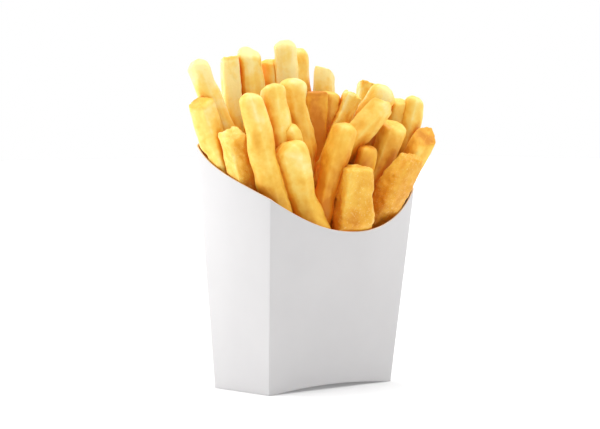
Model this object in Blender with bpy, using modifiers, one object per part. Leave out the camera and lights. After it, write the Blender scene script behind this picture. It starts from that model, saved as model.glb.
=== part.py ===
# French fries in a folded paperboard scoop carton.
# Two pieces: the board carton, one open shell, and the heap of fries that stands in it, one solid.
# +Z is up and the scooped front panel faces -Y. The origin is on the floor, at the middle of the
# footprint of the whole. Sizes in this file are in millimetres until they meet MM.

import math

import bmesh
import bpy
from mathutils import Matrix, Vector

MM = 0.001

# The carton flares from a small rectangle on the floor to a wide, bowed mouth.
BASE_WIDTH = 76.5        # side to side at the floor
FRONT_REACH = 17.7       # from the middle line to the front panel, at the floor
BACK_REACH = 19.5        # and to the back panel
SIDE_FLARE = 0.072       # outward lean of each side panel, per unit of height
FRONT_FLARE = 0.094
BACK_FLARE = 0.028
FRONT_BOW = 13.3         # how far the front panel bellies out at CORNER_HEIGHT
SIDE_BOW = 2.4
BACK_BOW = 5.0
BOW_POWER = 1.5          # the panels are flat at the floor and belly out faster higher up
BOARD = 0.6              # thickness of the board

# The rim dips to a scoop in front and climbs to a crest at the back.
SCOOP_HEIGHT = 72.3      # front rim at the middle
CORNER_HEIGHT = 87.7     # rim at the left front corner
RIGHT_LIFT = 2.8         # how much higher the rim stands at the right front corner
SHOULDER_HEIGHT = 111.0  # rim at the two back corners
CREST_HEIGHT = 123.0     # back rim at the middle
SCOOP_POWER = 2.2
SHOULDER_LIFT = 0.2      # share of the side rim's climb that comes in its last stretch
SHOULDER_POWER = 6.0
ARCH_RISE = 2.0          # the floor panel arches up between the two side edges it stands on
ARCH_SPAN = 0.92         # share of the width under the arch; the rest is flat foot

# The fries.
CLEARANCE = 1.2          # from the carton's outer face to the nearest fry, board included
MASS_INSET = 1.6         # from the carton's outer face to the packed mass inside
SETTLE = 6.0             # the packed mass stays this far below the rim; the fries rise out of it
RIM_GAP = 0.5            # a fry that leans over the rim clears the board's edge
SLEEVE = 25.0            # thickness of the sleeve that trims what would pass through the board
CORNER_CUT = 0.24        # chamfer along a fry's edges, as a share of its width
TAPER = 0.04             # a fry thins towards its tip by this share
WOBBLE = 0.04            # and swells and narrows along its length by this share
WOBBLE_TURNS = 1.4       # waves of that along a fry
WOBBLE_STEP = 2.4        # the wave starts this many radians later on each next fry
HEAD_SHARE = 0.35        # the last stretch of a fry, which a swollen or pointed head takes up
THICKNESS = 0.94         # a fry's thickness, as a share of its width
CAGE_CUTS = 7            # grid lines across each face of the cages
RINGS = (0.25, 0.5, 0.75, 0.87)  # cross cuts along a fry, as shares of its length

# Each fry: the foot buried in the heap (x, y, z), the tip (x, y, z), the width, the sideways bow
# of its middle, the turn about its own length in degrees, how much its head swells (or, below
# zero, comes to a point), and the slope of its end.
FRIES = {
    # the front row, from the left corner along the scoop
    "corner_left": ((-31, -19, 72), (-46.4, -13.7, 134), 12.5, 0.3, 40, -0.15, 0.1),
    "front_bent": ((-14, -24, 66), (-30, -21, 111.7), 14.5, -1.5, 35, -0.03, 0.1),
    "inner_front": ((-9, -10, 72), (-26, -15, 121), 14.0, 0.0, 20, 0.0, 0.1),
    "front_middle": ((-10, -15, 66), (1, -26, 121), 13.0, -2.0, 40, 0.0, 0.0),
    "front_low": ((3.5, -22, 44), (1, -34, 101), 18.0, 0.0, -14, -0.3, 0.0),
    "front_stub": ((10, -16, 66), (16, -25, 110), 10.0, 0.0, 30, -0.1, 0.0),
    "front_wide": ((20.5, -14.8, 62), (33, -37, 105.5), 15.0, 0.0, -25, -0.3, -0.2),
    # the left side
    "side_short": ((-35, -5, 72), (-47, -3, 116.5), 10.8, 0.0, 0, 0.0, 0.4),
    "side_pointed": ((-34, 8, 76), (-52.5, 12.5, 130.5), 10.5, 0.5, 25, 0.0, 0.3),
    "side_tall": ((-20.5, 7.4, 72), (-49, 20, 149), 10.8, 1.5, 40, 0.04, -0.1),
    # the middle, left to right
    "inner_low": ((-26, -1, 72), (-31, 0, 122), 11.0, 0.0, 30, 0.0, 0.0),
    "inner_left": ((-22, -12, 72), (-31, -11, 138.5), 13.0, 0.0, 30, 0.0, -0.3),
    "inner_knobby": ((-3, -4, 72), (-14, -7, 140.5), 12.5, 1.5, 35, 0.08, 0.0),
    "inner_mid": ((-14, 5, 72), (-19, 6, 128), 11.0, 0.0, 0, 0.0, 0.0),
    "inner_short": ((-14, -6, 72), (-20, -4, 128), 11.0, 0.0, 20, 0.0, 0.0),
    "tallest": ((9, 12, 72), (-2, 12, 159), 11.0, 0.5, 40, 0.03, 0.0),
    "inner_shaded": ((4, 1, 72), (5, -1, 135), 11.0, 0.0, 40, 0.0, 0.0),
    "inner_plain": ((13, 4, 72), (14, -2, 135), 11.0, 0.0, 45, 0.0, 0.2),
    "inner_leaning": ((5.3, -0.7, 92), (20.7, -10.7, 134.6), 8.6, 0.0, 5, 0.0, 0.0),
    "inner_right": ((26, 2, 72), (34, -11, 118), 10.5, 0.0, 0, 0.0, 0.0),
    "inner_stub": ((17, -6, 72), (20, -8, 112), 11.0, 0.0, 0, 0.0, 0.0),
    # two short ones that lie across the others
    "slanting_back": ((19, 1, 106), (39.8, -13.7, 136.5), 13.0, 0.0, 35, 0.0, 0.0),
    "slanting_front": ((-4, -6.3, 90), (25.3, -25.3, 129), 9.9, -1.0, 40, 0.0, 0.5),
    # the right side
    "right_mid": ((22, -11, 72), (34.3, -23.7, 119.5), 12.5, 0.0, 35, 0.0, -0.4),
    "right_outer": ((31, -14, 72), (51.5, -28.5, 116), 9.6, 0.0, 40, 0.0, -0.9),
    "right_upper": ((42, -10, 80), (53.8, -18.7, 133.3), 10.2, 0.0, 40, 0.0, -0.1),
    "right_behind": ((41, -4, 80), (49.5, -12.5, 132), 10.5, 0.0, 30, 0.0, -0.2),
    "right_back": ((38, 9, 76), (43, 3, 140), 10.0, 0.0, 30, 0.0, 0.25),
    # the back row
    "shoulder_left": ((-36, 17, 80), (-41, 20, 121), 10.0, 0.0, 10, 0.0, 0.0),
    "back_left": ((-24, 19, 76), (-27, 22, 151.5), 9.5, 0.5, 15, 0.0, 0.0),
    "back_tall": ((-11, 19, 76), (-16.3, 20.3, 155), 13.0, 0.0, 35, 0.0, 0.45),
    "back_third": ((1, 20, 76), (-3, 21, 151), 10.5, 0.0, 40, 0.0, 0.2),
    "back_low": ((-6, 11, 72), (-8, 12, 134), 10.5, 0.0, 0, 0.0, 0.0),
    "back_middle": ((17, 20, 72), (14, 19, 156), 10.0, 0.0, 40, 0.0, 0.1),
    "back_inner": ((7, 21, 76), (6, 23, 138), 10.0, 0.5, 10, 0.0, 0.0),
    "back_square": ((20, 10, 72), (20, 8, 147), 8.8, 0.0, 35, 0.0, 0.6),
    "back_right": ((28, 20, 76), (30, 23, 134), 10.5, 0.0, 30, 0.0, 0.0),
    "shoulder_right": ((37, 19, 80), (41, 22, 125), 10.0, 0.0, 0, 0.0, 0.0),
}


def bow(depth, z):
    """How far a panel bellies out at height z, for a bow of this depth at the corner's height."""
    return depth * (max(z, 0.0) / CORNER_HEIGHT) ** BOW_POWER


def rim_height(a, b):
    """Rim height: a runs -1 to 1 from left to right, b from -1 at the front to 1 at the back."""
    corner = CORNER_HEIGHT + RIGHT_LIFT * max(0.0, a)
    front = SCOOP_HEIGHT + (corner - SCOOP_HEIGHT) * abs(a) ** SCOOP_POWER
    back = SHOULDER_HEIGHT + (CREST_HEIGHT - SHOULDER_HEIGHT) * (1 - a * a)
    s = (b + 1) / 2
    climb = (1 - SHOULDER_LIFT) * s + SHOULDER_LIFT * s ** SHOULDER_POWER
    return front * (1 - climb) + back * climb


def floor_height(a):
    return ARCH_RISE * max(0.0, 1 - (a / ARCH_SPAN) ** 2)


def carton_point(a, b, c, inset=0.0, drop=0.0):
    """A point of the carton's form: c runs from -1 on the floor panel to 1 at the rim. The walls
    and the floor stand in by inset, and the top stays below the rim by drop."""
    low = floor_height(a) + inset
    z = low + (c + 1) / 2 * (rim_height(a, b) - drop - low)
    half_width = BASE_WIDTH / 2 + SIDE_FLARE * z + bow(SIDE_BOW, z) * (1 - b * b) - inset
    front = FRONT_REACH + FRONT_FLARE * z + bow(FRONT_BOW, z) * (1 - a * a) - inset
    back = BACK_REACH + BACK_FLARE * z + bow(BACK_BOW, z) * (1 - a * a) - inset
    y = -front + (b + 1) / 2 * (front + back)
    return Vector((a * half_width, y, z)) * MM


def add_object(name, bm, collection, material=None):
    mesh = bpy.data.meshes.new(name)
    bm.to_mesh(mesh)
    bm.free()
    obj = bpy.data.objects.new(name, mesh)
    collection.objects.link(obj)
    if material:
        mesh.materials.append(material)
    return obj


def carton_cage(open_top=False, open_bottom=False, **shape):
    """A gridded cube drawn onto the carton's form, less its lid or its floor."""
    bm = bmesh.new()
    bmesh.ops.create_cube(bm, size=2.0)
    bmesh.ops.subdivide_edges(bm, edges=bm.edges, cuts=CAGE_CUTS, use_grid_fill=True)
    doomed = [f for f in bm.faces
              if (open_top and f.normal.z > 0.9) or (open_bottom and f.normal.z < -0.9)]
    bmesh.ops.delete(bm, geom=doomed, context="FACES")
    for vert in bm.verts:
        vert.co = carton_point(*vert.co, **shape)
    bmesh.ops.recalc_face_normals(bm, faces=bm.faces)
    return bm


def fry_body(number, foot, tip, width, sideways, turn, head, slope):
    """One fry: a chamfered, uneven bar that runs from foot to tip."""
    foot, tip = Vector(foot), Vector(tip)
    length = (tip - foot).length
    bm = bmesh.new()
    bmesh.ops.create_cube(bm, size=1.0)
    bmesh.ops.translate(bm, verts=bm.verts, vec=(0, 0, 0.5))
    bmesh.ops.scale(bm, verts=bm.verts, vec=(width, width * THICKNESS, length))
    edges = [e for e in bm.edges if max(v.co.z for v in e.verts) > 0]
    bmesh.ops.bevel(bm, geom=edges, offset=width * CORNER_CUT, segments=1, affect="EDGES")
    for share in RINGS:
        bmesh.ops.bisect_plane(bm, geom=bm.verts[:] + bm.edges[:] + bm.faces[:],
                               plane_co=(0, 0, length * share), plane_no=(0, 0, 1))
    spin = Matrix.Rotation(math.radians(turn), 4, "Z")
    for vert in bm.verts:
        t = vert.co.z / length
        wave = math.sin(2 * math.pi * WOBBLE_TURNS * t + WOBBLE_STEP * number)
        near_tip = max(0.0, (t - 1) / HEAD_SHARE + 1)
        girth = (1 - TAPER * t) * (1 + WOBBLE * wave) * (1 + head * near_tip)
        near_end = max(0.0, 1 - (length - vert.co.z) / width)
        x, y, z = spin @ Vector((vert.co.x * girth, vert.co.y * girth, vert.co.z))
        vert.co = (x + sideways * 4 * t * (1 - t), y, z - near_end * slope * x)
    lean = (tip - foot).to_track_quat("Z", "Y").to_matrix().to_4x4()
    bmesh.ops.transform(bm, matrix=Matrix.Scale(MM, 4) @ Matrix.Translation(foot) @ lean,
                        verts=bm.verts)
    return bm


def boolean(obj, operation, other):
    mod = obj.modifiers.new(operation.lower(), "BOOLEAN")
    mod.operation = operation
    mod.solver = "EXACT"
    if isinstance(other, bpy.types.Collection):
        mod.operand_type = "COLLECTION"
        mod.collection = other
    else:
        mod.object = other


def make_material(name, colour, roughness):
    material = bpy.data.materials.new(name)
    material.use_nodes = True
    shader = material.node_tree.nodes["Principled BSDF"]
    shader.inputs["Base Color"].default_value = (*colour, 1.0)
    shader.inputs["Roughness"].default_value = roughness
    shader.inputs["Metallic"].default_value = 0.0
    return material


def hide_as_guide(obj):
    obj.hide_render = True
    obj.display_type = "WIRE"


def make_carton(collection):
    """The board: an open cup of the carton's form, thickened inwards."""
    board = make_material("white paperboard", (0.86, 0.86, 0.87), 0.6)
    carton = add_object("carton", carton_cage(open_top=True), collection, board)
    wall = carton.modifiers.new("board", "SOLIDIFY")
    wall.thickness = BOARD * MM
    wall.offset = -1.0
    wall.use_even_offset = True
    return carton


def make_heap(collection, guides, bars):
    """The heap: the packed mass in the carton joined with every fry, clear of the board."""
    potato = make_material("fried potato", (0.83, 0.56, 0.18), 0.5)
    heap = add_object("fries", carton_cage(inset=MASS_INSET, drop=SETTLE), collection, potato)
    for number, (name, row) in enumerate(FRIES.items()):
        hide_as_guide(add_object("bar_" + name, fry_body(number, *row), bars))
    boolean(heap, "UNION", bars)

    sleeve = add_object("sleeve", carton_cage(True, True, inset=CLEARANCE, drop=-RIM_GAP), guides)
    thick = sleeve.modifiers.new("outwards", "SOLIDIFY")
    thick.thickness = SLEEVE * MM
    thick.offset = 1.0
    hide_as_guide(sleeve)
    boolean(heap, "DIFFERENCE", sleeve)
    return heap


def stand_on_origin(pieces, others):
    """Hangs everything on one empty and moves it, so that the whole is centred on the origin."""
    base = bpy.data.objects.new("fries_carton_base", None)
    pieces[0].users_collection[0].objects.link(base)
    for obj in pieces + others:
        obj.parent = base
    graph = bpy.context.evaluated_depsgraph_get()
    points = []
    for piece in pieces:
        points += [v.co.copy() for v in piece.evaluated_get(graph).data.vertices]
    for axis in (0, 1):
        values = [p[axis] for p in points]
        base.location[axis] = -(min(values) + max(values)) / 2
    base.location.z = -min(p.z for p in points)


def main():
    for obj in list(bpy.data.objects):
        bpy.data.objects.remove(obj, do_unlink=True)
    collections = {}
    for name in ("fries_in_carton", "guides", "fry_bars"):
        collections[name] = bpy.data.collections.new(name)
        bpy.context.scene.collection.children.link(collections[name])
    parts, guides, bars = collections.values()
    carton = make_carton(parts)
    heap = make_heap(parts, guides, bars)
    stand_on_origin([carton, heap], list(guides.objects) + list(bars.objects))


main()
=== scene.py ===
import math
import random

import bmesh
import bpy
from mathutils import Matrix, Vector, noise
from mathutils.bvhtree import BVHTree


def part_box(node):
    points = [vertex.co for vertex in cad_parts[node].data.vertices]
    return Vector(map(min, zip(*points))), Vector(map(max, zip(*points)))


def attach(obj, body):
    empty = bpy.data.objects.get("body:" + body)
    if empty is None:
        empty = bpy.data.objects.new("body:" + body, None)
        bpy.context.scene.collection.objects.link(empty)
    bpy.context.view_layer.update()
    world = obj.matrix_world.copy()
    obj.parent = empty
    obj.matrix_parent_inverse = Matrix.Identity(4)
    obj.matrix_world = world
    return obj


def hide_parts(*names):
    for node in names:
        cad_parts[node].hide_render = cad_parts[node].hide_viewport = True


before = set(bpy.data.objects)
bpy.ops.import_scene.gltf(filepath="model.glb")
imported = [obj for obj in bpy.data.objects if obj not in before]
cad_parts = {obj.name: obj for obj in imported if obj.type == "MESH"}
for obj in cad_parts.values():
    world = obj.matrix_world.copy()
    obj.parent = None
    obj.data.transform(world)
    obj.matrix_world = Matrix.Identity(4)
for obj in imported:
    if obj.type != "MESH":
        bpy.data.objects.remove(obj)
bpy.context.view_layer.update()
boardLow, boardHigh = (Vector(corner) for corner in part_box("carton"))

mm = 0.001


carton = {  # in millimetres: the same form as the frame's board
    "baseWidth": 76.5,       # side to side at the floor
    "frontReach": 17.7,      # from the middle line to the front panel, at the floor
    "backReach": 19.5,
    "sideFlare": 0.072,      # lean of each panel, per unit of height
    "frontFlare": 0.094,
    "backFlare": 0.028,
    "frontBow": 13.3,        # belly of each panel at the corner's height
    "sideBow": 2.4,
    "backBow": 5.0,
    "bowPower": 1.5,
    "board": 0.6,            # thickness
    "scoop": 72.3,           # front rim at the middle
    "corner": 87.7,          # rim at the left front corner
    "rightLift": 2.8,        # how much higher it stands at the right one
    "shoulder": 111.0,       # rim at the back corners
    "crest": boardHigh.z / mm,
    "scoopPower": 2.2,
    "shoulderLift": 0.2,
    "shoulderPower": 6.0,
    "archRise": 2.0,         # the floor panel arches up between its two feet
    "archSpan": 0.92,
    "cuts": 47,              # grid lines across a panel
    "creaseWidth": 0.35,     # roundness of a fold
    "creaseSteps": 3,
    "creaseAngle": 35,       # degrees: what turns more than this is a fold or a cut edge
    "ripple": 0.2,           # unevenness of the board, in bands that run up and down it
    "rippleSize": 17.0,
    "rippleDraw": 0.3,       # the bands' width against their length
    "rippleStart": 20.0,     # height by which the ripple has its full depth
}


def bow(depth, z):
    return depth * (max(z, 0.0) / carton["corner"]) ** carton["bowPower"]


def rimHeight(a, b):  # a: -1 left to 1 right, b: -1 front to 1 back
    corner = carton["corner"] + carton["rightLift"] * max(0.0, a)
    front = carton["scoop"] + (corner - carton["scoop"]) * abs(a) ** carton["scoopPower"]
    back = carton["shoulder"] + (carton["crest"] - carton["shoulder"]) * (1 - a * a)
    s = (b + 1) / 2
    climb = (1 - carton["shoulderLift"]) * s + carton["shoulderLift"] * s ** carton["shoulderPower"]
    return front * (1 - climb) + back * climb


def floorHeight(a):
    return carton["archRise"] * max(0.0, 1 - (a / carton["archSpan"]) ** 2)


def reach(panel, across, z):  # how far a panel stands from the carton's middle line
    foot = carton["baseWidth"] / 2 if panel == "side" else carton[panel + "Reach"]
    return foot + carton[panel + "Flare"] * z + bow(carton[panel + "Bow"], z) * (1 - across * across)


def cartonPoint(a, b, c, inset=0.0, drop=0.0):  # c: -1 at the floor panel to 1 at the rim
    low = floorHeight(a) + inset
    z = low + (c + 1) / 2 * (rimHeight(a, b) - drop - low)
    front = reach("front", a, z) - inset
    back = reach("back", a, z) - inset
    y = -front + (b + 1) / 2 * (front + back)
    return stand + Vector((a * (reach("side", b, z) - inset), y, z)) * mm


# where the carton's own middle stands on the floor, read from its box in the frame
belly = reach("front", 0, carton["scoop"]) * mm
stand = Vector(((boardLow.x + boardHigh.x) / 2, boardLow.y + belly, 0))


def deselectAll():
    if bpy.context.object and bpy.context.object.mode != "OBJECT":
        bpy.ops.object.mode_set(mode="OBJECT")
    bpy.ops.object.select_all(action="DESELECT")


def pickOnly(piece):
    deselectAll()
    piece.select_set(True)
    bpy.context.view_layer.objects.active = piece


def selectWhere(piece, kind, test):  # selects faces, edges or vertices in edit mode by a test
    bpy.ops.mesh.select_mode(type={"faces": "FACE", "edges": "EDGE", "verts": "VERT"}[kind])
    bpy.ops.mesh.select_all(action="DESELECT")
    bm = bmesh.from_edit_mesh(piece.data)
    for element in getattr(bm, kind):
        if test(element):
            element.select_set(True)
    bm.select_flush_mode()
    bmesh.update_edit_mesh(piece.data)


def applyAll(piece):
    pickOnly(piece)
    for modifier in list(piece.modifiers):
        bpy.ops.object.modifier_apply(modifier=modifier.name)


def addModifier(piece, name, kind, **settings):
    modifier = piece.modifiers.new(name, kind)
    for key, value in settings.items():
        setattr(modifier, key, value)
    return modifier


def addLayer(piece, name, values):  # one number for each vertex, which a finish can read
    layer = piece.data.attributes.new(name, "FLOAT", "POINT")
    layer.data.foreach_set("value", values)


class Sock:  # a node's socket that can stand in a plain expression
    def __init__(self, tree, socket):
        self.tree = tree
        self.socket = socket

    def maths(self, operation, first, second):
        return addNode(self.tree, "ShaderNodeMath", {"operation": operation}, {0: first, 1: second})

    def __add__(self, other):
        return self.maths("ADD", self, other)

    def __radd__(self, other):
        return self.maths("ADD", other, self)

    def __sub__(self, other):
        return self.maths("SUBTRACT", self, other)

    def __rsub__(self, other):
        return self.maths("SUBTRACT", other, self)

    def __mul__(self, other):
        return self.maths("MULTIPLY", self, other)

    def __rmul__(self, other):
        return self.maths("MULTIPLY", other, self)


def addNode(tree, kind, settings=None, inputs=None, output=0):
    node = tree.nodes.new(kind)
    for key, value in (settings or {}).items():
        if key == "stops":
            ramp = node.color_ramp
            while len(ramp.elements) < len(value):
                ramp.elements.new(0.5)
            for element, (place, colour) in zip(ramp.elements, value):
                element.position = place
                element.color = (*colour, 1.0)
        else:
            setattr(node, key, value)
    for key, value in (inputs or {}).items():
        if isinstance(value, Sock):
            tree.links.new(value.socket, node.inputs[key])
        else:
            node.inputs[key].default_value = value
    return Sock(tree, node.outputs[output])


def noiseOf(tree, where, scale, detail=3.0, rough=0.5, distort=0.0):
    return addNode(tree, "ShaderNodeTexNoise", {},
                   {"Vector": where, "Scale": scale, "Detail": detail,
                    "Roughness": rough, "Distortion": distort})


def span(tree, value, low, high, outLow=0.0, outHigh=1.0):  # smooth ramp between two levels
    return addNode(tree, "ShaderNodeMapRange", {"interpolation_type": "SMOOTHSTEP"},
                   {0: value, 1: low, 2: high, 3: outLow, 4: outHigh})


def blendOf(tree, factor, first, second):
    colours = [value if isinstance(value, Sock) else (*value, 1.0) for value in (first, second)]
    return addNode(tree, "ShaderNodeMix", {"data_type": "RGBA"},
                   {0: factor, 6: colours[0], 7: colours[1]}, 2)


def newMaterial(name, **constants):
    material = bpy.data.materials.new(name)
    material.use_nodes = True
    shader = material.node_tree.nodes["Principled BSDF"]
    for key, value in constants.items():
        shader.inputs[key.replace("_", " ")].default_value = value
    return material, material.node_tree, shader


def drive(tree, shader, **sockets):
    for key, value in sockets.items():
        tree.links.new(value.socket, shader.inputs[key.replace("_", " ")])


def bumpOf(tree, height, strength, distance):
    return addNode(tree, "ShaderNodeBump", {},
                   {"Strength": strength, "Distance": distance, "Height": height})


def objectPlace(tree):
    return addNode(tree, "ShaderNodeTexCoord", {}, {}, 3)


def readAttribute(tree, name):
    return addNode(tree, "ShaderNodeAttribute", {"attribute_name": name}, {}, 2)


boardColours = {
    "white": ((0.60, 0.590, 0.594), (0.62, 0.610, 0.613)),
    "inside": ((0.76, 0.62, 0.42), (0.60, 0.40, 0.18)),  # dry, and where grease has soaked in; both warm and brown as painted shade and painted reflection of the fries' light
    "cut": ((0.80, 0.60, 0.40), (0.92, 0.78, 0.60)),
}


def makeBoardFinish():
    material, tree, shader = newMaterial("white coated board", Specular_IOR_Level=0.35)
    where = objectPlace(tree)
    cloud = noiseOf(tree, where, 38, 3)
    fibre = noiseOf(tree, where, 1500, 3, 0.6)
    colour = blendOf(tree, span(tree, cloud, 0.3, 0.7), *boardColours["white"])
    rough = span(tree, cloud, 0.3, 0.7, 0.42, 0.52)
    bump = bumpOf(tree, fibre * 0.6 + cloud * 0.4, 0.12, 0.0002)
    drive(tree, shader, Base_Color=colour, Roughness=rough, Normal=bump)
    return material


def makeInnerFinish():
    material, tree, shader = newMaterial("plain board inside", Specular_IOR_Level=0.25)
    where = objectPlace(tree)
    cloud = noiseOf(tree, where, 70, 4)
    fibre = noiseOf(tree, where, 1300, 3, 0.6)
    grease = span(tree, cloud, 0.45, 0.75)
    # painted shade and painted reflection: both colours inside the board are warm and brown
    colour = blendOf(tree, grease, *boardColours["inside"])
    bump = bumpOf(tree, fibre, 0.25, 0.0002)
    drive(tree, shader, Base_Color=colour, Roughness=0.75 - grease * 0.2, Normal=bump)
    return material


def makeEdgeFinish():
    material, tree, shader = newMaterial("cut edge of the board", Specular_IOR_Level=0.2)
    where = objectPlace(tree)
    fibre = noiseOf(tree, where, 900, 4, 0.7)
    colour = blendOf(tree, fibre, *boardColours["cut"])
    bump = bumpOf(tree, fibre, 0.4, 0.0002)
    drive(tree, shader, Base_Color=colour, Roughness=0.7 + fibre * 0.2, Normal=bump)
    return material


crust = {
    "cream": (0.97, 0.82, 0.35),
    "pale": (0.95, 0.68, 0.15),
    "gold": (0.91, 0.535, 0.07),
    "amber": (0.81, 0.38, 0.028),
    "toast": (0.68, 0.25, 0.012),
    "creviceShadeColour": (0.88, 0.28, 0.010),  # painted shade: the deep orange put where the fries crowd together
}

cookingAndShade = {  # how far each of these deepens the colour of the crust: the first is painted shade in the crevices between the fries, the others the crust's own colour
    "crowd": 0.75,
    "patch": 0.3,
    "mottle": 0.4,
    "edge": -0.15,
    "all": 0.05,
}


def makeCrustFinish(name, sandy=0.0):  # sandy: from a smooth skin at 0 to a gritty one at 1
    material, tree, shader = newMaterial(name, Subsurface_Weight=0.15, Subsurface_Scale=0.004,
                                         Subsurface_Radius=(0.7, 0.55, 0.15), Specular_IOR_Level=0.35)
    where = objectPlace(tree)
    tone = readAttribute(tree, "tone")
    edge = readAttribute(tree, "edge")
    crowd = readAttribute(tree, "crowd") * (1.0 - edge * 0.7)
    patch = noiseOf(tree, where, 75, 3, 0.55, 0.4)
    mottle = noiseOf(tree, where, 330, 4, 0.6)
    pores = noiseOf(tree, where, 1100, 3, 0.6)
    # painted shade: the colour deepens in the crevices where the fries crowd together, and the tone
    # layer carries painted shade towards each foot
    cookedAndShaded = tone + crowd * cookingAndShade["crowd"] + span(tree, patch, 0.33, 0.67) * cookingAndShade["patch"]
    cookedAndShaded += (mottle - 0.5) * cookingAndShade["mottle"] + edge * cookingAndShade["edge"] + cookingAndShade["all"]
    colour = addNode(tree, "ShaderNodeValToRGB",
                     {"stops": ((0.0, crust["cream"]), (0.25, crust["pale"]), (0.5, crust["gold"]),
                                (0.78, crust["amber"]), (1.0, crust["toast"]))}, {0: cookedAndShaded})
    # painted shade: the crevices between the fries are blended towards a deep orange
    colour = blendOf(tree, span(tree, crowd, 0.3, 0.8) * 0.9, colour, crust["creviceShadeColour"])
    specks = span(tree, noiseOf(tree, where, 620, 2, 0.5), 0.68, 0.80)
    colour = blendOf(tree, specks * (0.1 + 0.08 * sandy), colour, crust["toast"])
    flour = span(tree, noiseOf(tree, where, 1300, 3, 0.6), 0.56, 0.66) * (1.0 - crowd)
    colour = blendOf(tree, flour * (0.3 * sandy), colour, crust["cream"])
    rough = span(tree, mottle, 0.3, 0.7, 0.40, 0.62)
    bump = bumpOf(tree, mottle * 0.55 + pores * 0.45, 0.45 + 0.4 * sandy, 0.0004)
    drive(tree, shader, Base_Color=colour, Roughness=rough, Normal=bump)
    return material


boardFinish = makeBoardFinish()
innerFinish = makeInnerFinish()
edgeFinish = makeEdgeFinish()
smoothCrust = makeCrustFinish("golden crust")
sandyCrust = makeCrustFinish("gritty golden crust", 1.0)
print("finishes made")


def makeCarton():
    deselectAll()
    bpy.ops.mesh.primitive_cube_add(size=2)
    piece = bpy.context.object
    piece.name = "foldedCarton"
    bpy.ops.object.mode_set(mode="EDIT")
    bpy.ops.mesh.subdivide(number_cuts=carton["cuts"])
    selectWhere(piece, "faces", lambda face: face.normal.z > 0.9)
    bpy.ops.mesh.delete(type="FACE")
    bm = bmesh.from_edit_mesh(piece.data)
    for vert in bm.verts:  # the gridded cube is drawn onto the folded form
        vert.co = cartonPoint(*vert.co)
    bmesh.update_edit_mesh(piece.data)
    bpy.ops.mesh.select_all(action="SELECT")
    bpy.ops.mesh.normals_make_consistent(inside=False)
    bpy.ops.object.mode_set(mode="OBJECT")
    bpy.ops.object.shade_smooth()

    normals = [vert.normal.copy() for vert in piece.data.vertices]
    for vert, normal in zip(piece.data.vertices, normals):  # the board isn't quite flat
        spot = Vector((vert.co.x, vert.co.y, vert.co.z * carton["rippleDraw"])) / mm
        swell = noise.noise(spot / carton["rippleSize"]) * carton["ripple"] * mm
        lift = min(1.0, vert.co.z / (carton["rippleStart"] * mm))
        vert.co += normal * swell * lift

    for finish in (boardFinish, innerFinish, edgeFinish):
        piece.data.materials.append(finish)
    addModifier(piece, "thickness", "SOLIDIFY", thickness=carton["board"] * mm, offset=-1.0,
                use_even_offset=True, material_offset=1, material_offset_rim=2)
    addModifier(piece, "folds", "BEVEL", width=carton["creaseWidth"] * mm,
                segments=carton["creaseSteps"], limit_method="ANGLE",
                angle_limit=math.radians(carton["creaseAngle"]))
    applyAll(piece)
    bpy.ops.object.shade_smooth_by_angle(angle=math.radians(carton["creaseAngle"]))
    return piece


cartonPiece = makeCarton()
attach(cartonPiece, "root")
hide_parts("carton")
print("carton made:", len(cartonPiece.data.polygons), "faces")


fryShape = {
    "width": 12.0,           # the modelled bar, in mm, before it is fitted to a place
    "thickness": 11.3,
    "length": 90.0,
    "head": 9.0,             # the end that keeps its shape when a fry is made longer
    "rings": 16,
    "cornerSteps": 2,
    "domeShares": (0.6, 0.4),  # the end is rounded in two steps of height
    "smoothing": 2,
    "taper": 0.04,
    "wobble": 0.025,         # swelling and narrowing along a fry
    "wobbleTurns": 1.4,
    "wobbleStep": 2.4,
    "headShare": 0.35,       # the stretch that a swollen or pointed head takes up
    "twist": 14.0,           # degrees from foot to tip, at most
    "flat": 0.08,            # how much thinner or thicker than the bar, at most
    "tilt": 0.12,            # chance slope of the end, at most
    "rimDepth": 3.5,         # how far down from the end its rim is taken to reach
    "rimFocus": 2.4,         # how quickly it fades towards the middle of the end
    "crumbSize": 1.9,        # the rough grain of a broken end
    "streak": 0.2,           # paler and darker streaks that run along a fry
    "streakWidth": 4.4,
    "streakLength": 15.0,
    "paintedFootShade": 0.45,       # painted shade: deeper colour towards the foot, low in the heap
    "endDepth": 2.5,         # how far down from the end its own colour reaches
    "wall": 1.1,             # a fry keeps this far inside the board's outer face
    "overRim": 4.0,          # height over which a fry may bend out over the rim
}

fryRelief = (  # depth, size, both in mm, and the kind's own share of it
    (1.5, 17.0, "lump"),
    (0.6, 6.5, "lump"),
    (0.30, 2.2, "grit"),
)

# strips: where extra cuts run along the bar; corner: roundness of the long edges; rim, dome: width
# and height of the rounded end, all as shares of the width; ends: deeper colour of the end; lump,
# grit, ragged: how much the kind has of each relief, the last only on the rim of its end
fryKinds = {
    "round": {"strips": (0,), "corner": 0.38, "rim": 0.32, "dome": 0.26,
              "ends": 0.0, "lump": 1.0, "grit": 0.5, "ragged": 0.1},
    "soft": {"strips": (0,), "corner": 0.29, "rim": 0.24, "dome": 0.14,
             "ends": 0.1, "lump": 1.0, "grit": 0.7, "ragged": 0.3},
    "square": {"strips": (-0.11, 0.11), "corner": 0.18, "rim": 0.12, "dome": 0.07,
               "ends": 0.4, "lump": 0.7, "grit": 0.9, "ragged": 0.3},
    "crumbly": {"strips": (-0.13, 0.13), "corner": 0.19, "rim": 0.16, "dome": 0.13,
                "ends": 0.05, "lump": 0.9, "grit": 1.6, "ragged": 1.1},
    "knobby": {"strips": (0,), "corner": 0.36, "rim": 0.30, "dome": 0.22,
               "ends": 0.0, "lump": 1.7, "grit": 0.7, "ragged": 0.2},
}
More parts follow.
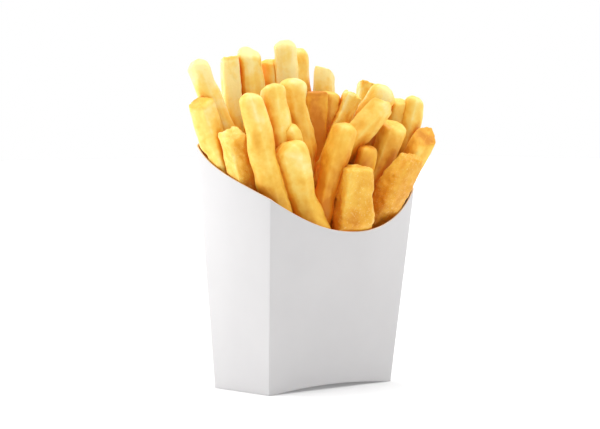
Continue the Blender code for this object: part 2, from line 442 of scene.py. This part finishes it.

# foot and tip (x, y, z) from the carton's middle and width, in mm; sideways bow in mm, turn in
# degrees, swell of the head, slope of the end, kind, and depth of colour, from about -0.3 for the
# palest fry to 0.6 for the deepest: partly each fry's own cooking, partly painted light and shade,
# with the tall fries at the back painted paler and the shaded inner ones deeper
fryRows = {
    "cornerLeft": ((-31, -19, 72), (-46.4, -13.7, 134), 12.5, 0.3, 40, -0.15, 0.1, "round", 0.08),
    "frontBent": ((-14, -24, 66), (-30, -21, 111.7), 14.5, -1.5, 35, -0.03, 0.1, "round", 0.08),
    "innerFront": ((-9, -10, 72), (-26, -15, 121), 14.0, 0.0, 20, 0.0, 0.1, "knobby", 0.1),
    "frontMiddle": ((-10, -15, 66), (1, -26, 121), 13.0, -2.0, 40, 0.0, 0.0, "round", 0.33),
    "frontLow": ((3.5, -22, 44), (1, -34, 101), 18.0, 0.0, -14, -0.3, 0.0, "crumbly", 0.35),
    "frontStub": ((10, -16, 66), (16, -25, 110), 10.0, 0.0, 30, -0.1, 0.0, "soft", 0.4),
    "frontWide": ((19.6, -14.4, 62), (33, -37, 105.5), 14.7, 0.0, -25, -0.3, -0.2, "crumbly", 0.42),
    "sideShort": ((-35, -5, 72), (-47, -3, 116.5), 10.8, 0.0, 0, 0.0, 0.4, "crumbly", 0.1),
    "sidePointed": ((-34, 8, 76), (-52.5, 12.5, 130.5), 10.5, 0.5, 25, 0.0, 0.3, "square", 0.03),
    "sideTall": ((-20.5, 7.4, 72), (-49, 20, 149), 10.8, 1.5, 40, 0.04, -0.1, "round", -0.16),
    "innerLow": ((-26, -1, 72), (-31, 0, 122), 11.0, 0.0, 30, 0.0, 0.0, "soft", 0.40),
    "innerLeft": ((-22, -12, 72), (-31, -11, 138.5), 13.0, 0.0, 30, 0.0, -0.3, "round", 0.05),
    "innerKnobby": ((-3, -4, 72), (-14, -7, 140.5), 12.5, 1.5, 35, 0.08, 0.0, "knobby", 0.08),
    "innerMid": ((-14, 5, 72), (-19, 6, 128), 11.0, 0.0, 0, 0.0, 0.0, "soft", 0.50),
    "innerShort": ((-14, -6, 72), (-20, -4, 128), 11.0, 0.0, 20, 0.0, 0.0, "soft", 0.50),
    "tallest": ((9, 12, 72), (-2, 12, 159), 11.0, 0.5, 40, 0.03, 0.0, "round", -0.2),
    "innerShaded": ((4, 1, 72), (5, -1, 135), 11.0, 0.0, 40, 0.0, 0.0, "square", 0.6),
    "innerPlain": ((13, 4, 72), (14, -2, 135), 11.0, 0.0, 45, 0.0, 0.2, "soft", 0.3),
    "innerLeaning": ((5.3, -0.7, 92), (20.7, -10.7, 134.6), 8.6, 0.0, 5, 0.0, 0.0, "crumbly", 0.0),
    "innerRight": ((26, 2, 72), (34, -11, 118), 10.5, 0.0, 0, 0.0, 0.0, "soft", 0.50),
    "innerStub": ((17, -6, 72), (20, -8, 112), 11.0, 0.0, 0, 0.0, 0.0, "soft", 0.60),
    "slantingBack": ((19, 1, 106), (39.8, -13.7, 136.5), 13.0, 0.0, 35, 0.0, 0.0, "round", 0.0),
    "slantingFront": ((-4, -6.3, 90), (25.3, -25.3, 129), 9.9, -1.0, 40, 0.0, 0.5, "square", 0.12),
    "rightMid": ((22, -11, 72), (34.3, -23.7, 120.5), 12.5, 0.0, 35, 0.0, -0.4, "soft", 0.15),
    "rightOuter": ((31, -14, 72), (51.5, -28.5, 115.2), 9.6, 0.0, 40, 0.0, -1.0, "square", 0.25),
    "rightUpper": ((46, -12, 90), (53.8, -18.7, 133.3), 10.2, 0.0, 40, 0.0, -0.1, "round", 0.05),
    "rightBehind": ((43, -5, 80), (49.5, -12.5, 132), 10.5, 0.0, 30, 0.0, -0.2, "soft", 0.0),
    "rightBack": ((38, 9, 76), (43, 3, 140), 10.0, 0.0, 30, 0.0, 0.25, "square", 0.0),
    "shoulderLeft": ((-36, 17, 80), (-41, 20, 121), 10.0, 0.0, 10, 0.0, 0.0, "soft", 0.30),
    "backLeft": ((-24, 19, 76), (-27, 22, 151.5), 9.5, 0.5, 15, 0.0, 0.0, "square", -0.2),
    "backTall": ((-11, 19, 76), (-16.3, 20.3, 155), 13.0, 0.0, 35, 0.0, 0.45, "round", -0.14),
    "backThird": ((1, 20, 76), (-3, 21, 151), 10.5, 0.0, 40, 0.0, 0.2, "soft", -0.05),
    "backLow": ((-6, 11, 72), (-8, 12, 134), 10.5, 0.0, 0, 0.0, 0.0, "soft", 0.50),
    "backMiddle": ((17, 20, 72), (14, 19, 156), 10.0, 0.0, 40, 0.0, 0.1, "round", -0.1),
    "backInner": ((7, 21, 76), (6, 23, 138), 10.0, 0.5, 10, 0.0, 0.0, "soft", 0.40),
    "backSquare": ((20, 10, 72), (20, 8, 145.5), 8.8, 0.0, 35, 0.0, 0.5, "square", -0.28),
    "backRight": ((28, 20, 76), (30, 23, 134), 10.5, 0.0, 30, 0.0, 0.0, "soft", 0.35),
    "shoulderRight": ((37, 19, 80), (41, 22, 125), 10.0, 0.0, 0, 0.0, 0.0, "soft", 0.40),
}


def modelFry(kind):
    shape = fryKinds[kind]
    width = fryShape["width"] * mm
    length = fryShape["length"] * mm
    deselectAll()
    bpy.ops.mesh.primitive_cube_add(size=1, location=(0, 0, 0.5))
    piece = bpy.context.object
    piece.name = "model." + kind
    bpy.ops.object.transform_apply(location=True, rotation=True, scale=True)
    piece.scale = (width, fryShape["thickness"] * mm, length)
    bpy.ops.object.transform_apply(location=True, rotation=True, scale=True)
    bpy.ops.object.mode_set(mode="EDIT")
    selectWhere(piece, "edges", lambda edge: abs(edge.verts[0].co.z - edge.verts[1].co.z) > length / 2)
    bpy.ops.mesh.bevel(offset=shape["corner"] * width, offset_type="OFFSET",
                       segments=fryShape["cornerSteps"], profile=0.5)
    for step in range(1, fryShape["rings"]):
        bpy.ops.mesh.select_all(action="SELECT")
        bpy.ops.mesh.bisect(plane_co=(0, 0, length * step / fryShape["rings"]), plane_no=(0, 0, 1))
    selectWhere(piece, "faces", lambda face: face.normal.z > 0.9)
    for share in fryShape["domeShares"]:
        bpy.ops.mesh.inset(thickness=shape["rim"] * width * 0.5, depth=0)
        bpy.ops.transform.translate(value=(0, 0, shape["dome"] * width * share))
    bpy.ops.mesh.inset(thickness=(shape["corner"] - shape["rim"]) * width * 0.6, depth=0)
    for share in shape["strips"]:
        for normal in ((1, 0, 0), (0, 1, 0)):
            bpy.ops.mesh.select_all(action="SELECT")
            bpy.ops.mesh.bisect(plane_co=Vector(normal) * share * width, plane_no=normal)
    bpy.ops.object.mode_set(mode="OBJECT")
    addModifier(piece, "smooth", "SUBSURF", levels=fryShape["smoothing"],
                render_levels=fryShape["smoothing"])
    applyAll(piece)
    bpy.ops.object.shade_smooth()
    top = max(vert.co.z for vert in piece.data.vertices)
    for vert in piece.data.vertices:  # the height is brought back to the bar's own
        near = max(0.0, 1 - (top - vert.co.z) / width)
        vert.co.z -= near * (top - length)
    return piece


def smoothStep(low, high, value):
    share = min(1.0, max(0.0, (value - low) / (high - low)))
    return share * share * (3 - 2 * share)


def keepInside(point):  # a point in mm from the carton's middle, held within the board below the rim
    x, y, z = point
    a = 0.0
    for attempt in range(2):  # twice, because each panel's belly depends on the place along it
        front, back = reach("front", a, z), reach("back", a, z)
        b = min(1.0, max(-1.0, (y + front) / (front + back) * 2 - 1))
        side = reach("side", b, z)
        a = min(1.0, max(-1.0, x / side))
    inset, soft = fryShape["wall"], fryShape["overRim"]
    holdFront = 1 - smoothStep(rimHeight(a, -1), rimHeight(a, -1) + soft, z)
    holdBack = 1 - smoothStep(rimHeight(a, 1), rimHeight(a, 1) + soft, z)
    holdSide = 1 - smoothStep(rimHeight(1, b), rimHeight(1, b) + soft, z)
    y += max(0.0, inset - front - y) * holdFront - max(0.0, y - back + inset) * holdBack
    x += max(0.0, inset - side - x) * holdSide - max(0.0, x - side + inset) * holdSide
    return Vector((x, y, z))


def placeFry(number, name, model, normals, row):
    foot, tip, width, sideways, turn, swell, slope, kind, tone = row
    shape = fryKinds[kind]
    draw = random.Random(number + 1)
    foot, tip = Vector(foot), Vector(tip)
    length = (tip - foot).length
    head = fryShape["head"]
    stretch = (length - head) / (fryShape["length"] - head)
    twist = math.radians(draw.uniform(-1, 1) * fryShape["twist"])
    flat = 1 + draw.uniform(-1, 1) * fryShape["flat"]
    tilt = draw.uniform(-1, 1) * fryShape["tilt"]
    patch = Vector((31.7 * number, 11.3 * number, 0))  # each fry has its own stretch of the noise
    lean = (tip - foot).to_track_quat("Z", "Y").to_matrix().to_4x4()
    place = Matrix.Translation(foot) @ lean
    fry = model.copy()
    fry.data = model.data.copy()
    fry.name = "fry." + name
    bpy.context.collection.objects.link(fry)
    points, edges, tones = [], [], []
    for vert, normal in zip(model.data.vertices, normals):
        x, y, z = vert.co / mm
        toTip = fryShape["length"] - z
        inner, outer = sorted((abs(x) / fryShape["width"], abs(y) / fryShape["thickness"]))
        corner = (inner / max(outer, 1e-6)) ** 3
        rimmed = max(0.0, 1 - toTip / fryShape["rimDepth"])
        rimmed *= min(1.0, outer * fryShape["rimFocus"]) ** 2
        z = z * stretch if toTip > head else length - toTip
        t = z / length
        spot = Vector((x, y, z)) + patch
        rise = sum(depth * shape[more] * noise.noise(spot / size) for depth, size, more in fryRelief)
        rise += shape["ragged"] * rimmed * noise.noise(spot / fryShape["crumbSize"])
        grain = Vector((spot.x / fryShape["streakWidth"], spot.y / fryShape["streakWidth"],
                        spot.z / fryShape["streakLength"]))
        shade = tone + fryShape["streak"] * noise.noise(grain)
        # painted shade: the colour deepens towards the foot
        shade += fryShape["paintedFootShade"] * max(0.0, 1 - t)
        shade += shape["ends"] * max(0.0, 1 - toTip / fryShape["endDepth"])
        x, y, z = Vector((x, y, z)) + normal * rise
        wave = math.sin(2 * math.pi * fryShape["wobbleTurns"] * t + fryShape["wobbleStep"] * number)
        nearTip = max(0.0, (t - 1) / fryShape["headShare"] + 1)
        girth = (1 - fryShape["taper"] * t) * (1 + fryShape["wobble"] * wave) * (1 + swell * nearTip)
        girth *= width / fryShape["width"]
        angle = math.radians(turn) + twist * t
        x, y = x * girth, y * girth * flat
        x, y = x * math.cos(angle) - y * math.sin(angle), x * math.sin(angle) + y * math.cos(angle)
        z -= max(0.0, 1 - toTip / width) * (slope * x + tilt * y)
        x += sideways * 4 * t * (1 - t)
        points.append(stand + keepInside(place @ Vector((x, y, z))) * mm)
        edges.append(max(corner, rimmed))
        tones.append(shade)
    for vert, point in zip(fry.data.vertices, points):
        vert.co = point
    addLayer(fry, "edge", edges)
    addLayer(fry, "tone", tones)
    return fry


def joinPieces(pieces, name):
    deselectAll()
    for piece in pieces:
        piece.select_set(True)
    bpy.context.view_layer.objects.active = pieces[0]
    bpy.ops.object.join()
    pieces[0].name = name
    return pieces[0]


def makeFries(kind):
    model = modelFry(kind)
    normals = [vert.normal.copy() for vert in model.data.vertices]
    fries = [placeFry(number, name, model, normals, row)
             for number, (name, row) in enumerate(fryRows.items()) if row[7] == kind]
    bpy.data.objects.remove(model, do_unlink=True)
    piece = joinPieces(fries, kind + "Fries")
    piece.data.materials.clear()
    piece.data.materials.append(sandyCrust if kind == "crumbly" else smoothCrust)
    return piece


friesPieces = [makeFries(kind) for kind in fryKinds]
for friesPiece in friesPieces:
    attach(friesPiece, "root")
    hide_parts("fries")
    print(friesPiece.name, "made:", len(friesPiece.data.polygons), "faces")


coreShape = {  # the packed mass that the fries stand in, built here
    "inset": 2.4,            # in from the board's outer face
    "drop": 14.0,            # down from the rim
    "cuts": 24,
    "lump": 3.0,
    "lumpSize": 9.0,
    "tone": 0.8,
}


def makeCore():
    deselectAll()
    bpy.ops.mesh.primitive_cube_add(size=2)
    piece = bpy.context.object
    piece.name = "packedFries"
    bpy.ops.object.mode_set(mode="EDIT")
    bpy.ops.mesh.subdivide(number_cuts=coreShape["cuts"])
    bpy.ops.object.mode_set(mode="OBJECT")
    for vert in piece.data.vertices:
        vert.co = cartonPoint(*vert.co, inset=coreShape["inset"], drop=coreShape["drop"])
    addLayer(piece, "edge", [0.0] * len(piece.data.vertices))
    addLayer(piece, "tone", [coreShape["tone"]] * len(piece.data.vertices))
    texture = bpy.data.textures.new("coreLumps", "CLOUDS")
    texture.noise_scale = coreShape["lumpSize"] * mm
    addModifier(piece, "coreLumps", "DISPLACE", texture=texture, texture_coords="GLOBAL",
                strength=coreShape["lump"] * mm, mid_level=0.5)
    applyAll(piece)
    bpy.ops.object.shade_smooth()
    piece.data.materials.append(sandyCrust)
    return piece


corePiece = makeCore()
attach(corePiece, "root")
print("core made")


crowding = {
    "lift": 0.8,             # in mm: the feelers start this far off the surface
    "far": 16.0,             # and reach this far
    "splay": 0.9,            # how far the outer ones lean
    "feelers": 5,            # one straight out, and four that lean round it
}


def markPaintedCreviceShade(pieces, others):  # how closely the fries crowd round each point, kept as a layer for the painted shade in the crevices
    points, faces = [], []
    for piece in pieces + others:
        first = len(points)
        points += [vert.co.copy() for vert in piece.data.vertices]
        faces += [[first + index for index in face.vertices] for face in piece.data.polygons]
    tree = BVHTree.FromPolygons(points, faces)
    far = crowding["far"] * mm
    for piece in pieces:
        values = []
        for vert in piece.data.vertices:
            normal = vert.normal
            side = normal.orthogonal()
            start = vert.co + normal * crowding["lift"] * mm
            total = 0.0
            for quarter in range(crowding["feelers"]):
                way = normal.copy()
                if quarter:
                    way += crowding["splay"] * side
                    side = normal.cross(side)
                distance = tree.ray_cast(start, way.normalized(), far)[3]
                if distance is not None:
                    total += 1 - distance / far
            values.append(total / crowding["feelers"])
        addLayer(piece, "crowd", values)


# painted shade: marks how deep in the crevices each point of the fries lies
markPaintedCreviceShade(friesPieces + [corePiece], [cartonPiece])
print("crowding marked")


studio = {
    "turn": 42.6,            # the camera stands this many degrees to the left of the front
    "down": 2.71,            # and looks down this much
    "away": 0.9602,          # its place in metres, seen from where the carton stands
    "rise": 0.0787,
    "side": -0.0024,
    "lens": 124.45,
    "sky": 0.65,
    "floor": 0.79,
    "floorSize": 8.0,
    "glow": 0.13,            # light from the floor itself
}

suns = {  # name: how far it stands to the right, behind and above, strength, spread in degrees
    "key": (-0.90, 0.30, 0.22, 0.9, 25),
    "rim": (-0.60, 0.75, 0.25, 0.75, 25),
    "fill": (0.85, 0.45, 0.35, 0.55, 40),
    "top": (0.0, 0.0, 1.0, 2.2, 60),
}

windowLight = {  # in metres and watts
    "place": (-0.17, -0.01, 0.08),  # to the right, behind and above
    "aim": 0.08,
    "size": 0.10,
    "power": 0.055,
}

turn = math.radians(studio["turn"])
down = math.radians(studio["down"])
viewLevel = Vector((math.sin(turn), math.cos(turn), 0))  # away from the camera, along the floor
viewRight = Vector((math.cos(turn), -math.sin(turn), 0))
viewForward = viewLevel * math.cos(down) - Vector((0, 0, math.sin(down)))
viewUp = viewRight.cross(viewForward)


def aimMatrix(place, forward, up):
    right = forward.cross(up).normalized()
    up = right.cross(forward)
    turned = Matrix((right, up, -forward)).transposed().to_4x4()
    return Matrix.Translation(place) @ turned


def addToScene(name, data, place, forward, up):
    thing = bpy.data.objects.new(name, data)
    bpy.context.collection.objects.link(thing)
    thing.matrix_world = aimMatrix(place, forward, up)
    return thing


def makeCamera():
    camera = bpy.data.cameras.new("camera")
    camera.lens = studio["lens"]
    camera.sensor_width = 36
    camera.clip_start = 0.01
    place = stand - viewForward * studio["away"] + viewUp * studio["rise"] + viewRight * studio["side"]
    bpy.context.scene.camera = addToScene("camera", camera, place, viewForward, viewUp)


def makeFloor():
    deselectAll()
    bpy.ops.mesh.primitive_plane_add(size=studio["floorSize"], location=(0, 0, -0.1 * mm))
    floor = bpy.context.object
    floor.name = "floor"
    grey = studio["floor"]
    paper = newMaterial("pale floor", Base_Color=(grey, grey, grey, 1), Roughness=0.8,
                        Emission_Color=(1, 1, 1, 1), Emission_Strength=studio["glow"])[0]
    floor.data.materials.append(paper)


def makeSuns():
    for name, (sideways, behind, above, strength, spread) in suns.items():
        light = bpy.data.lights.new(name, "SUN")
        light.energy = strength
        light.angle = math.radians(spread)
        way = (viewRight * sideways + viewLevel * behind + Vector((0, 0, above))).normalized()
        addToScene(name, light, way, -way, viewLevel)


def makeWindow():
    light = bpy.data.lights.new("window", "AREA")
    light.energy = windowLight["power"]
    light.size = windowLight["size"]
    sideways, behind, above = windowLight["place"]
    place = stand + viewRight * sideways + viewLevel * behind + Vector((0, 0, above))
    target = stand + Vector((0, 0, windowLight["aim"]))
    lamp = addToScene("window", light, place, (target - place).normalized(), viewLevel)
    lamp.visible_camera = False


def makeSky():  # the camera sees a white sky, and the fries and carton a dimmer one
    world = bpy.data.worlds.new("studio")
    bpy.context.scene.world = world
    world.use_nodes = True
    tree = world.node_tree
    seen = addNode(tree, "ShaderNodeLightPath", {}, {}, 0)
    strength = studio["sky"] + seen * (1.0 - studio["sky"])
    tree.links.new(strength.socket, tree.nodes["Background"].inputs["Strength"])
    tree.nodes["Background"].inputs["Color"].default_value = (1, 1, 1, 1)
    bpy.context.scene.view_settings.view_transform = "Standard"


makeCamera()
makeFloor()
makeSuns()
makeWindow()
makeSky()
print("studio made")
